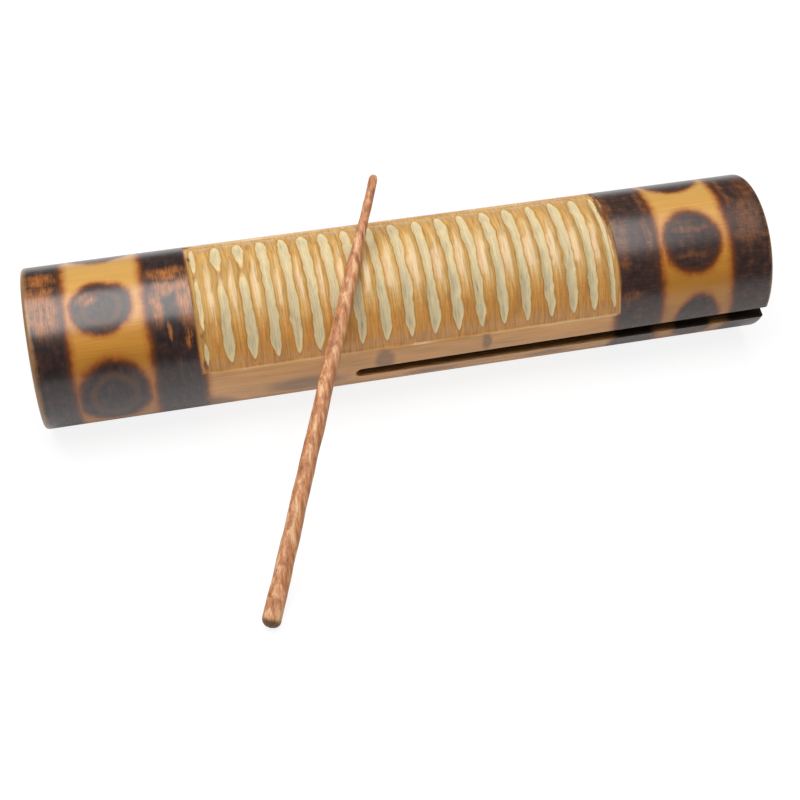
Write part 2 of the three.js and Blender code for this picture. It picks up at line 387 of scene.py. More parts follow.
def skin_patterns(tree, marks):
    """Where a point of the culm's outside lies, and the patterns that its colours are drawn from."""
    place = millimetres(tree)
    along, front, up = add(tree, SEPARATE, (place,)).node.outputs
    cuts = add(tree, "ShaderNodeAttribute", out="Vector", attribute_name="cuts")
    inset, notch, flank = add(tree, SEPARATE, (cuts,)).node.outputs
    right = add(tree, MAP_RANGE, (along, -20.0, 20.0))

    # Fibres that run for centimetres, and slow changes of tone. Real fibres are too fine to show in a
    # render of the whole guiro, so they are drawn 0.9 mm wide.
    fibres = grain(tree, place, (25, 0.909, 0.909), Detail=5.0, Roughness=0.6)
    growth = grain(tree, place, (50, 11.11, 11.11), Detail=2.0)
    # The rasp that shaved the panel left streaks round the culm, and the pith in the notches is finer.
    rasp = grain(tree, place, (0.8333, 14.286, 14.286), Detail=4.0, Roughness=0.65)
    pith = grain(tree, place, (0.625, 9.09, 9.09), Detail=5.0, Roughness=0.72)
    # The char is streaked round the culm at the left end and cross-hatched at the right end.
    rings = grain(tree, place, (2.632, 9.09, 9.09), Detail=5.0, Roughness=0.65)
    hatch = grain(tree, place, (6.25, 0.909, 0.909), Detail=3.0, Roughness=0.6)
    crossed = add(tree, MIX, {"Factor": 0.55, "A": rings, "B": hatch}, "Result")
    streaks = add(tree, MIX, {"Factor": right, "A": rings, "B": crossed}, "Result")
    # Its blotches are 3.6 mm wide.
    mottle = add(tree, NOISE, {"Vector": place, "Scale": 0.28, "Detail": 2.0, "Roughness": 0.5})
    char = add(tree, MIX, {"Factor": 0.42, "A": streaks, "B": mottle}, "Result")

    # The angle up from the front strays with the fibres, so that what follows it has a soft edge.
    angle = add(tree, MATH, (up, front), operation="ARCTAN2")
    angle = add(tree, MATH, (fibres, 0.2, angle), operation="MULTIPLY_ADD")
    # Right and left are shares that tell the culm's halves apart, and far is how far its middle is, in mm.
    return SimpleNamespace(
        place=place, inset=inset, notch=notch, flank=flank, right=right,
        far=add(tree, MATH, (along,), operation="ABSOLUTE"),
        left=add(tree, MATH, (1.0, right), operation="SUBTRACT"),
        angle=add(tree, MATH, (angle, 0.1), operation="SUBTRACT"),
        burnt=add(tree, "ShaderNodeGroup", (place,), node_tree=marks).node.outputs,
        fibres=fibres, growth=growth, rasp=rasp, pith=pith,
        char=add(tree, MAP_RANGE, (char, 0.36, 0.64)),
    )


def skin_tones(tree, colours, skin):
    """Plain and toasted skin, shaved bamboo and pooled lacquer, lighter and darker with the grain."""
    tone = add(tree, MIX, {"Factor": 0.5, "A": skin.fibres, "B": skin.growth}, "Result")
    rasped = add(tree, MIX, {"Factor": 0.7, "A": tone, "B": skin.rasp}, "Result")
    return [
        add(tree, RAMP, (pattern,), stops=(
            (0.5 - spread, shade(colour, 0.8)), (0.5, colour), (0.5 + spread, shade(colour, 1.2))))
        for pattern, spread, colour in (
            (tone, 0.11, colours.plain_skin_colour), (tone, 0.15, colours.skin_colour),
            (rasped, 0.13, colours.shaved_colour), (rasped, 0.14, linear("#d8984c")))]


def toasted(tree, skin, plain, toast):
    """The skin between the burnt marks, which the flame warmed, while the middle of the culm stayed tan.

    It is painted paler on top as painted light, and darker at the front as painted shade.
    """
    near_fire = add(tree, MAP_RANGE, (skin.far, 97.0, 101.0), **SMOOTH)
    # Painted light and shade: the toasted skin is painted paler towards the top and darker low at the
    # front.
    pale = add(tree, MAP_RANGE, (skin.angle, math.radians(55), math.radians(100), 0.0, 0.5))
    pale = add(tree, MATH, (pale, near_fire), operation="MULTIPLY")
    painted_front_shade = add(tree, MAP_RANGE, (skin.angle, math.radians(60), math.radians(30), 0.0, 0.6))
    painted_front_shade = add(tree, MATH, (painted_front_shade, near_fire), operation="MULTIPLY")
    return coated(tree, plain, ((near_fire, toast), (pale, linear("#e3b96e")), (painted_front_shade, linear("#b4741f"))))


def burnt(tree, colours, skin, colour):
    """The skin with its burnt marks, smoke and rubbed rims, and how far the char covers it."""
    hatched = add(tree, MAP_RANGE, (skin.right, 0.0, 1.0, -0.14, 0.1))
    hatched = add(tree, MATH, (skin.char, hatched), operation="ADD")
    char = add(tree, RAMP, (hatched,), stops=(
        (0.1, shade(colours.char_colour, 0.55)), (0.5, shade(colours.char_colour, 1.15)),
        (0.8, linear("#4a2d23")), (1.0, linear("#5f3a29"))))
    licked = add(tree, MAP_RANGE, (skin.pith, 0.36, 0.64))
    licked = add(tree, MIX, {"Factor": 0.5, "A": skin.char, "B": licked}, "Result")
    weak_char = add(tree, RAMP, (licked,), stops=(
        (0.05, shade(colours.weak_char_colour, 0.12)), (0.3, shade(colours.weak_char_colour, 0.6)),
        (0.5, shade(colours.weak_char_colour, 1.2)), (0.85, shade(colours.weak_char_colour, 1.9))))

    # The mark's edge follows the char's grain, from a warm rim over a singed one to black.
    inside = add(tree, MATH, (skin.char, 1.0, skin.burnt["Inside"]), operation="MULTIPLY_ADD")
    warm = add(tree, MAP_RANGE, (inside, -4.8, 0.4), **SMOOTH)
    singed = add(tree, MAP_RANGE, (inside, -2.4, 1.0), **SMOOTH)
    black = add(tree, MAP_RANGE, (inside, -0.7, 2.6), **SMOOTH)
    weak = add(tree, MAP_RANGE, (skin.burnt["Weak"], 1.4, 0.4, 0.0, 0.85), **SMOOTH)
    weak = add(tree, MATH, (weak, black), operation="MULTIPLY")
    weaker_right = add(tree, MAP_RANGE, (skin.right, 0.0, 1.0, 1.0, 0.35))
    weak = add(tree, MATH, (weak, weaker_right), operation="MULTIPLY")
    # The left spots have a brown ring between a black rim and a black middle.
    ring = add(tree, RAMP, (skin.burnt["Spot"],), stops=(
        (0.48, BLACK), (0.6, WHITE), (0.68, WHITE), (0.82, BLACK)))
    ring = add(tree, MATH, (ring, skin.left), operation="MULTIPLY")
    ring = add(tree, MATH, (ring, 0.7), operation="MULTIPLY")
    smoke = add(tree, MAP_RANGE, (skin.burnt["Smudge"], 0.45, 1.1, 0.6, 0.0), **SMOOTH)

    # The rims were rubbed back to a softer brown, more so at the left end.
    rim_start = add(tree, MAP_RANGE, (skin.right, 0.0, 1.0, *RIM_RUB))
    rim_start = add(tree, MATH, (CULM_LENGTH / 2 / MM, rim_start), operation="SUBTRACT")
    rim = add(tree, MATH, (skin.far, rim_start), operation="SUBTRACT")
    rim = add(tree, MATH, (skin.char, 1.2, rim), operation="MULTIPLY_ADD")
    rim = add(tree, MAP_RANGE, (rim, -0.4, 2.2, 0.0, 0.85), **SMOOTH)
    colour = coated(tree, colour, (
        (warm, colours.ember_colour), (singed, shade(colours.ember_colour, 0.3)), (black, char),
        (weak, weak_char), (ring, shade(colours.weak_char_colour, 0.34)), (smoke, linear("#5d4a40")),
        (rim, linear("#a87a4e"))))
    return colour, black


def panel_edge_highlight_and_shade(tree, skin):
    """The line round the shaved panel, a painted highlight on the shaved step and dark along the bands as
    painted shade: how strongly it shows, and its colour.
    """
    near = add(tree, MAP_RANGE, (skin.inset, -1.0, 1.0))
    line = add(tree, RAMP, (near,), stops=((0.15, BLACK), (0.38, WHITE), (0.55, WHITE), (0.8, BLACK)))
    patchy = add(tree, MAP_RANGE, (skin.growth, 0.4, 0.62, 0.1, 0.7))
    at_end = add(tree, MAP_RANGE, (skin.far, 96.0, 98.5))
    strong = add(tree, MATH, (at_end, 0.65), operation="MULTIPLY")
    strong = add(tree, MATH, (patchy, strong), operation="MAXIMUM")
    line = add(tree, MATH, (line, strong), operation="MULTIPLY")
    # At the ends beside the bands the line is dark brown, painted shade in the shaved step.
    end_step_shade_colour = coated(tree, linear("#8a4a1c"), ((skin.right, linear("#6b3a1a")),))
    return line, coated(tree, linear("#e6cfa4"), ((at_end, end_step_shade_colour),))


def notched(tree, colours, skin, colour, shaved_tone, pool_tone):
    """The skin with its shaved panel and notches, and how far it is shaved, worn pale with a painted
    highlight, and bare.
    """
    shaved = add(tree, MAP_RANGE, (skin.inset, -0.25, 0.25), **SMOOTH)
    # The panel's edge line is a painted highlight on the step, and painted shade at its ends.
    line, edge_highlight_and_shade_colour = panel_edge_highlight_and_shade(tree, skin)
    # Lacquer settled brown in the rasp's scratches.
    scratch = grain(tree, skin.place, (1.667, 22.22, 22.22), Detail=1.0)
    scratch = add(tree, MATH, (scratch, 0.5), operation="SUBTRACT")
    scratch = add(tree, MATH, (scratch,), operation="ABSOLUTE")
    scratch = add(tree, MAP_RANGE, (scratch, 0.01, 0.07, 0.38, 0.0))
    scratch = add(tree, MATH, (scratch, shaved), operation="MULTIPLY")
    # The hollows beside the ridges are a deeper ochre, and the lacquer ends in a brown line.
    hollow = add(tree, MAP_RANGE, (skin.flank, 0.1, 0.75, 0.0, 0.75), **SMOOTH)
    edge = add(tree, MAP_RANGE, (skin.notch, -1.0, 1.0))
    outline = add(tree, RAMP, (edge,), stops=((0.0, BLACK), (0.28, WHITE), (0.4, WHITE), (0.6, BLACK)))
    broken = add(tree, MAP_RANGE, (skin.rasp, 0.4, 0.6, 0.05, 0.6))
    outline = add(tree, MATH, (outline, broken), operation="MULTIPLY")

    # Strokes wore the lacquer pale mid-row, most on the ridges, and the pale is partly a painted
    # highlight; it pooled below.
    wear_and_highlight_below = add(tree, MAP_RANGE, (skin.angle, math.radians(30), math.radians(62)))
    wear_and_highlight_above = add(tree, MAP_RANGE, (skin.angle, math.radians(106), math.radians(84)))
    wear_and_highlight_band = add(tree, MATH, (wear_and_highlight_below, wear_and_highlight_above), operation="MULTIPLY")
    worn = add(tree, MATH, (skin.rasp, 3.4, wear_and_highlight_band), operation="MULTIPLY_ADD")
    worn = add(tree, MATH, (skin.flank, -4.4, worn), operation="MULTIPLY_ADD")
    worn = add(tree, MAP_RANGE, (worn, 1.6, 2.9, 0.0, 0.8), **SMOOTH)
    wear_and_highlight_band = add(tree, MAP_RANGE, (wear_and_highlight_band, 0.0, 0.6))
    wear_and_highlight_band = add(tree, MATH, (wear_and_highlight_band, shaved), operation="MULTIPLY")
    worn = add(tree, MATH, (worn, wear_and_highlight_band), operation="MULTIPLY")
    pooled = add(tree, MAP_RANGE, (skin.angle, math.radians(52), math.radians(34)))
    pooled = add(tree, MATH, (pooled, shaved), operation="MULTIPLY")

    # The pith is painted pale at a notch's shallow edge as if lit, and darker the deeper the notch, partly
    # as painted shade.
    depth = add(tree, MATH, (skin.pith, 2.8, skin.notch), operation="MULTIPLY_ADD")
    # Painted light: the pith is painted lighter towards the top and darker towards the notch's lower end.
    pith_painted_light = add(tree, MAP_RANGE, (skin.angle, math.radians(66), math.radians(34), -0.35, -0.1))
    depth = add(tree, MATH, (depth, pith_painted_light), operation="ADD")
    raw = add(tree, RAMP, (add(tree, MAP_RANGE, (depth, 0.95, 2.75)),), stops=(
        (0.0, linear("#dcb87c")), (0.1, linear("#ebd5a2")), (0.3, linear("#dfcca1")),
        (0.55, colours.raw_colour), (0.75, shade(colours.raw_colour, 0.78)),
        (1.0, shade(colours.raw_colour, 0.42))))
    bare = add(tree, MAP_RANGE, (skin.notch, -0.38, 0.1), **SMOOTH)
    colour = coated(tree, colour, (
        (shaved, shaved_tone), (pooled, pool_tone), (hollow, linear("#c69d5b")), (worn, linear("#e0c896")),
        (scratch, linear("#9a632b")), (line, edge_highlight_and_shade_colour), (outline, linear("#8f6426")), (bare, raw)))
    return colour, shaved, worn, bare


def lacquered_bamboo(colours, marks):
    """Bamboo skin, scorched in bands and spots, shaved and notched, under clear lacquer.

    The lacquer gives a satin shine, the fibres run along the culm, and the flame leaves a warm brown edge.
    """
    material, tree = new_material("lacquered bamboo")
    skin = skin_patterns(tree, marks)
    plain, toast, shaved_tone, pool_tone = skin_tones(tree, colours, skin)
    colour = toasted(tree, skin, plain, toast)
    colour, black = burnt(tree, colours, skin, colour)
    colour, shaved, worn, bare = notched(tree, colours, skin, colour, shaved_tone, pool_tone)
    scorch = add(tree, MAP_RANGE, (skin.burnt["Scorch"], 0.5, 1.3, 0.8, 0.0), **SMOOTH)
    colour = coated(tree, colour, ((scorch, linear("#6b3213")),))

    roughness = add(tree, MIX, {"Factor": bare, "A": 0.5, "B": 0.85}, "Result")
    lacquer = add(tree, MAP_RANGE, (worn, 0.0, 1.0, 1.0, 0.35))
    lacquer = add(tree, MIX, {"Factor": bare, "A": lacquer, "B": 0.0}, "Result")
    # The char is blistered, so its shine breaks up into specks.
    blisters = add(tree, MATH, (skin.char, 0.9), operation="MULTIPLY")
    fibres = add(tree, MATH, (skin.fibres, 0.4), operation="MULTIPLY")
    charred = add(tree, MATH, (1.0, shaved), operation="SUBTRACT")
    charred = add(tree, MATH, (black, charred), operation="MULTIPLY")
    relief = add(tree, MIX, {"Factor": charred, "A": fibres, "B": blisters}, "Result")
    relief = add(tree, MIX, {"Factor": shaved, "A": relief, "B": skin.rasp}, "Result")
    relief = add(tree, MIX, {"Factor": bare, "A": relief, "B": skin.pith}, "Result")
    bump = add(tree, "ShaderNodeBump", {"Height": relief, "Strength": 0.3, "Distance": 0.12 * MM})
    shader = add(tree, "ShaderNodeBsdfPrincipled", {
        "Base Color": colour, "Roughness": roughness, "Specular IOR Level": 0.15, "Coat Weight": lacquer,
        "Coat Roughness": 0.26, "Coat IOR": 1.6, "Normal": bump})
    add(tree, "ShaderNodeOutputMaterial", {"Surface": shader})
    return material


def sawn_bamboo(marks):
    """Bamboo cut by the saw at the ends and along the slot.

    The wall is pale with dark fibre ends, and the same flame scorched it.
    """
    material, tree = new_material("sawn bamboo")
    place = millimetres(tree)
    # Fibre bundles 0.6 mm across, which run for a centimetre.
    bundle_place = add(tree, MAPPING, {"Vector": place, "Scale": (0.08, 1.6, 1.6)})
    bundles = add(tree, "ShaderNodeTexVoronoi", {"Vector": bundle_place, "Scale": 1.0, "Randomness": 0.9})
    fibres = add(tree, NOISE, {"Vector": bundle_place, "Scale": 1.5, "Detail": 4.0})
    wood = add(tree, RAMP, (fibres,), stops=(
        (0.35, linear("#9a6a38")), (0.5, linear("#bd8a52")), (0.66, linear("#d2a871"))))
    dots = add(tree, MAP_RANGE, (bundles, 0.16, 0.34, 0.6, 0.0))

    # The flame reached the sawn faces less than the slot's edges.
    inside = add(tree, "ShaderNodeGroup", (place,), "Inside", node_tree=marks)
    black = add(tree, MAP_RANGE, (inside, -2.0, 3.0, 0.0, 0.95), **SMOOTH)
    far = add(tree, MATH, (add(tree, SEPARATE, (place,)),), operation="ABSOLUTE")
    end_start = CULM_LENGTH / 2 / MM - 0.5
    end_full = end_start + 0.45
    less = add(tree, MAP_RANGE, (far, end_start, end_full, 1.0, 0.3))
    black = add(tree, MATH, (black, less), operation="MULTIPLY")
    # The slot's walls are painted dark below a clean edge, as painted shade deep in the slot.
    across = add(tree, VECTOR_MATH, (place, (0.0, 1.0, 1.0)), operation="MULTIPLY")
    across = add(tree, VECTOR_MATH, (across,), "Value", operation="LENGTH")
    skin_radius = CULM_RADIUS / MM
    painted_slot_shade = add(tree, MAP_RANGE, (across, skin_radius - 0.8, skin_radius - 4.5, 0.1, 0.85))
    in_slot = add(tree, MAP_RANGE, (far, end_start, end_full, 1.0, 0.0))
    painted_slot_shade = add(tree, MATH, (painted_slot_shade, in_slot), operation="MULTIPLY")
    colour = coated(tree, wood, (
        (dots, linear("#5f3d20")), (painted_slot_shade, linear("#2b1a10")), (black, linear("#1c1412"))))
    bump = add(tree, "ShaderNodeBump", {"Height": fibres, "Strength": 0.6, "Distance": 0.2 * MM})
    shader = add(tree, "ShaderNodeBsdfPrincipled", {
        "Base Color": colour, "Roughness": 0.6, "Specular IOR Level": 0.3, "Normal": bump})
    add(tree, "ShaderNodeOutputMaterial", {"Surface": shader})
    return material


def bare_bamboo():
    """The inside of the culm as it grew: dull, tan and finely streaked along its length."""
    material, tree = new_material("bare bamboo")
    place = millimetres(tree)
    fibres = grain(tree, place, (33.33, 1.111, 1.111), Detail=6.0, Roughness=0.65)
    # Patches of another tone every 2 cm.
    patches = add(tree, NOISE, {"Vector": place, "Scale": 0.05, "Detail": 3.0})
    tone = add(tree, MIX, {"Factor": 0.4, "A": fibres, "B": patches}, "Result")
    wood = add(tree, RAMP, (tone,), stops=(
        (0.34, linear("#8a6238")), (0.5, linear("#b48a56")), (0.66, linear("#cfae7c"))))
    bump = add(tree, "ShaderNodeBump", {"Height": fibres, "Strength": 0.7, "Distance": 0.3 * MM})
    shader = add(tree, "ShaderNodeBsdfPrincipled", {"Base Color": wood, "Roughness": 0.85, "Normal": bump})
    add(tree, "ShaderNodeOutputMaterial", {"Surface": shader})
    return material


def oiled_hardwood(colours, base, direction):
    """A reddish hardwood stick, whittled by knife and oiled.

    Its figure slants, and its butt is dark, from the oiled end grain and as painted shade.
    """
    material, tree = new_material("oiled hardwood")
    place = add(tree, "ShaderNodeTexCoord", out="Object")
    # The mapping lays the stick's own length along Z, in mm.
    turn = direction.to_track_quat("Z", "Y").to_euler()
    from_butt = add(tree, MAPPING, {
        "Vector": place, "Location": base, "Rotation": turn, "Scale": (MM, MM, MM)}, vector_type="TEXTURE")
    slant = (math.radians(16), math.radians(-12), 0)
    slanted = add(tree, MAPPING, {"Vector": from_butt, "Rotation": slant})
    figure = grain(tree, slanted, (2.381, 2.381, 11.11), Detail=4.0, Roughness=0.55, Distortion=0.7)
    # Real pores are too fine to show, so they are drawn half a millimetre wide.
    pores = grain(tree, slanted, (0.5, 0.5, 6.25), Detail=4.0)
    tone = add(tree, MIX, {"Factor": 0.3, "A": figure, "B": pores}, "Result")
    wood = add(tree, RAMP, (tone,), stops=(
        (0.34, shade(colours.wood_colour, 0.42)), (0.43, shade(colours.wood_colour, 0.78)),
        (0.5, colours.wood_colour), (0.58, colours.sapwood_colour),
        (0.68, shade(colours.sapwood_colour, 1.2))))
    # End grain drinks the oil and goes dark, and this darkening of the rounded butt is also painted shade.
    end = add(tree, SEPARATE, (from_butt,), "Z")
    end = add(tree, MAP_RANGE, (end, 1.8, 4.4, 0.9, 0.0), **SMOOTH)
    colour = coated(tree, wood, ((end, shade(colours.wood_colour, 0.2)),))
    bump = add(tree, "ShaderNodeBump", {"Height": pores, "Strength": 0.6, "Distance": 0.12 * MM})
    shader = add(tree, "ShaderNodeBsdfPrincipled", {
        "Base Color": colour, "Roughness": 0.5, "Specular IOR Level": 0.3, "Coat Weight": 0.15,
        "Coat Roughness": 0.35, "Normal": bump})
    add(tree, "ShaderNodeOutputMaterial", {"Surface": shader})
    return material


def seen_and_mirrored(tree, strength):
    """Whether the camera sees a place straight, and a strength for where the object mirrors it."""
    rays = add(tree, "ShaderNodeLightPath").node.outputs
    mirrored = add(tree, MATH, (rays["Is Glossy Ray"], rays["Is Transmission Ray"]), operation="MAXIMUM")
    return rays["Is Camera Ray"], add(tree, MATH, (mirrored, strength), operation="MULTIPLY")


def floor_paint():
    """Matt white paint that takes a soft shadow and is white to the camera and in reflections."""
    material, tree = new_material("white floor paint")
    seen, mirrored = seen_and_mirrored(tree, 0.15)
    # The camera sees a good fifth of it as lit paint, which keeps the shadow.
    seen = add(tree, MATH, (seen, 0.78), operation="MULTIPLY")
    share = add(tree, MATH, (seen, mirrored), operation="MAXIMUM")
    paint = add(tree, "ShaderNodeBsdfDiffuse", {"Color": linear("#ececec")})
    white = add(tree, "ShaderNodeEmission", {"Strength": 1.12})
    surface = add(tree, "ShaderNodeMixShader", (share, paint, white))
    add(tree, "ShaderNodeOutputMaterial", {"Surface": surface})
    return material


def notch_place(sizes, number):
    """Where a notch lies along X from the culm's middle."""
    drift = sum(size * math.sin(turn * number + begin) for size, turn, begin in PITCH_WANDERS)
    return sizes.row_offset + (number - (sizes.notch_count - 1) / 2) * sizes.notch_pitch + drift


def panel_ends(sizes):
    """Where the shaved panel starts and ends along X, from the culm's middle."""
    reach = sizes.notch_width * 0.45 + sizes.panel_margin
    return notch_place(sizes, 0) - reach, notch_place(sizes, sizes.notch_count - 1) + reach


def culm_profile(sizes):
    """The culm's wall as a closed line of places along X, with their radii and zones."""
    half, radius, bore = CULM_LENGTH / 2, CULM_RADIUS, CULM_RADIUS - sizes.wall
    rounding, bore_edge, bore_margin = sizes.rim_rounding, 0.0003, 0.004
    # The skin's points lie closer under the notches, and a little past them.
    coarse, fine, spare = 0.002, 0.0005, 0.0012
    fine_start, fine_end = panel_ends(sizes)[0] - spare, panel_ends(sizes)[1] + spare
    left_count = round((fine_start + half) / coarse)
    fine_count = round((fine_end - fine_start) / fine)
    right_count = round((half - fine_end) / coarse)
    outer = np.concatenate([
        np.linspace(-half + rounding, fine_start, left_count, endpoint=False),
        np.linspace(fine_start, fine_end, fine_count, endpoint=False),
        np.linspace(fine_end, half - rounding, right_count)])
    quarter = np.linspace(0, math.pi / 2, 6)
    rim = [(rounding * math.sin(a), radius - rounding + rounding * math.cos(a)) for a in quarter]

    profile = [(x, radius, SKIN) for x in outer]
    profile += [(half - rounding + ahead, r, SKIN) for ahead, r in rim[1:]]
    profile += [(half, r, SAWN) for r in np.linspace(radius - rounding, bore + bore_edge, 5)[1:]]
    profile += [(half - bore_edge, bore, SAWN)]
    profile += [(x, bore, BORE) for x in np.linspace(half - bore_margin, -half + bore_margin, 44)]
    profile += [(-half + bore_edge, bore, BORE)]
    profile += [(-half, r, SAWN) for r in np.linspace(bore + bore_edge, radius - rounding, 5)]
    profile += [(-half + rounding - ahead, r, SKIN) for ahead, r in rim[-2:0:-1]]
    return profile


def culm_blank(sizes):
    """The plain culm as one closed mesh: its profile turned round the axis, finer under the notches."""
    profile = culm_profile(sizes)
    circle, spare = 2 * math.pi, math.radians(3)
    fine_turn, coarse_turn = 0.00075 / CULM_RADIUS, 0.0025 / CULM_RADIUS
    centre, reach = sizes.notch_centre, sizes.panel_half_angle + spare
    fine_count = round(2 * reach / fine_turn)
    coarse_count = round((circle - 2 * reach) / coarse_turn)
    turns = np.concatenate([
        np.linspace(centre - reach, centre + reach, fine_count, endpoint=False),
        np.linspace(centre + reach, centre - reach + circle, coarse_count, endpoint=False)])
    x, r, zone = (np.array(column) for column in zip(*profile))
    cells, rows = len(profile), len(turns)
    points = np.empty((rows, cells, 3))
    points[..., 0] = AXIS.x + x
    points[..., 1] = AXIS.y - np.outer(np.cos(turns), r)
    points[..., 2] = AXIS.z + np.outer(np.sin(turns), r)
    at = np.arange(rows * cells).reshape(rows, cells)
    ahead, up = np.roll(at, -1, axis=1), np.roll(at, -1, axis=0)
    quads = np.stack([at, ahead, np.roll(up, -1, axis=1), up], axis=-1).reshape(-1, 4)
    mesh = bpy.data.meshes.new("culm blank")
    mesh.from_pydata(points.reshape(-1, 3).tolist(), [], quads.tolist())

    # A face that joins two zones belongs to the later one.
    face_zone = np.maximum(zone, np.roll(zone, -1))
    zones = mesh.attributes.new("zone", "INT", "FACE")
    zones.data.foreach_set("value", np.tile(face_zone, rows).astype(np.int32))
    return mesh


def geometry_tree(name, kinds):
    """A geometry node tree that changes a geometry by named inputs, and the outputs that give them."""
    tree = bpy.data.node_groups.new(name, "GeometryNodeTree")
    for label, kind in {"Geometry": "Geometry", **kinds}.items():
        tree.interface.new_socket(label, in_out="INPUT", socket_type="NodeSocket" + kind)
    tree.interface.new_socket("Geometry", in_out="OUTPUT", socket_type="NodeSocketGeometry")
    return tree, add(tree, "NodeGroupInput").node.outputs


def place_on_culm(tree, given):
    """Where a point lies along and round the culm, and whether it is on the skin."""
    tolerance = 0.0002
    from_axis = add(tree, "GeometryNodeInputPosition")
    from_axis = add(tree, VECTOR_MATH, (from_axis, given["Axis"]), operation="SUBTRACT")
    along, behind, up = add(tree, SEPARATE, (from_axis,)).node.outputs
    across = add(tree, VECTOR_MATH, (from_axis, (0.0, 1.0, 1.0)), operation="MULTIPLY")
    radius = add(tree, VECTOR_MATH, (across,), "Value", operation="LENGTH")
    depth = add(tree, MATH, (given["Radius"], radius), operation="SUBTRACT")
    front = add(tree, MATH, (behind, -1.0), operation="MULTIPLY")
    angle = add(tree, MATH, (up, front), operation="ARCTAN2")
    angle = add(tree, MATH, (angle, given["Centre Angle"]), operation="SUBTRACT")
    return SimpleNamespace(
        from_axis=from_axis, along=along, angle=angle,
        turned=add(tree, MATH, (angle,), operation="ABSOLUTE"),
        arc=add(tree, MATH, (angle, given["Radius"]), operation="MULTIPLY"),
        outward=add(tree, VECTOR_MATH, (across,), operation="NORMALIZE"),
        on_skin=add(tree, COMPARE, {"A": depth, "B": tolerance}, operation="LESS_THAN"),
    )


def panel_inset(tree, given, spot):
    """How far inside the shaved panel's uneven edge a point lies, from its nearest side or end."""
    side = add(tree, MATH, (given["Panel Half Angle"], spot.turned), operation="SUBTRACT")
    side = add(tree, MATH, (side, given["Radius"]), operation="MULTIPLY")
    start = add(tree, MATH, (spot.along, given["Panel Start"]), operation="SUBTRACT")
    end = add(tree, MATH, (given["Panel End"], spot.along), operation="SUBTRACT")
    inset = add(tree, MATH, (start, end), operation="MINIMUM")
    inset = add(tree, MATH, (inset, side), operation="MINIMUM")
    # The edge strays in waves of 11 mm.
    uneven = add(tree, NOISE, {"Vector": spot.from_axis, "Scale": 90.0, "Detail": 2.0})
    uneven = add(tree, MATH, (uneven, 0.5), operation="SUBTRACT")
    return add(tree, MATH, (uneven, 0.0014, inset), operation="MULTIPLY_ADD")


def nearest_notch(tree, given, spot):
    """The number of the nearest notch, its number from the nearer end, and its middle along X."""
    last = add(tree, MATH, (given["Count"], 1.0), operation="SUBTRACT")
    first = add(tree, MATH, (last, -0.5), operation="MULTIPLY")
    first = add(tree, MATH, (first, given["Pitch"], given["Row Offset"]), operation="MULTIPLY_ADD")
    row = add(tree, "GeometryNodeMeshLine", {
        "Count": given["Count"], "Start Location": add(tree, COMBINE, (first,)),
        "Offset": add(tree, COMBINE, (given["Pitch"],))})
    # The slow drifts of hand spacing move the notches along their row.
    index = add(tree, "GeometryNodeInputIndex")
    drift = None
    for size, turn, begin in PITCH_WANDERS:
        wave = add(tree, MATH, (index, turn, begin), operation="MULTIPLY_ADD")
        wave = add(tree, MATH, (wave,), operation="SINE")
        wave = add(tree, MATH, (wave, size), operation="MULTIPLY")
        drift = add(tree, MATH, (drift, wave), operation="ADD") if drift else wave
    row = add(tree, "GeometryNodeSetPosition", {"Geometry": row, "Offset": add(tree, COMBINE, (drift,))})
    here = add(tree, COMBINE, (spot.along,))
    number = add(tree, "GeometryNodeSampleNearest", {"Geometry": row, "Sample Position": here})
    middle = add(tree, "GeometryNodeInputPosition")
    middle = add(tree, "GeometryNodeSampleIndex", {
        "Geometry": row, "Value": middle, "Index": number}, data_type="FLOAT_VECTOR")
    from_end = add(tree, MATH, (last, number), operation="SUBTRACT")
    from_end = add(tree, MATH, (from_end, number), operation="MINIMUM")
    return number, from_end, add(tree, SEPARATE, (middle,))


def skipped_depth(tree, given, spot, number, floor):
    """A notch's depth, less where the blade skipped."""
    for notch, degrees, half_length in NOTCH_SKIPS:
        from_skip = add(tree, MATH, (math.radians(degrees), given["Centre Angle"]), operation="SUBTRACT")
        from_skip = add(tree, MATH, (spot.angle, from_skip), operation="SUBTRACT")
        from_skip = add(tree, MATH, (from_skip, given["Radius"]), operation="MULTIPLY")
        from_skip = add(tree, MATH, (from_skip,), operation="ABSOLUTE")
        lift = add(tree, MAP_RANGE, (from_skip, half_length * 3.2, 0.0, 0.0, 0.5))
        lift = add(tree, MATH, (lift, given["Depth"]), operation="MULTIPLY")
        skipped = add(tree, COMPARE, {"A": number, "B": notch}, data_type="INT", operation="EQUAL")
        lift = add(tree, MATH, (lift, skipped), operation="MULTIPLY")
        floor = add(tree, MATH, (floor, lift), operation="SUBTRACT")
    return floor


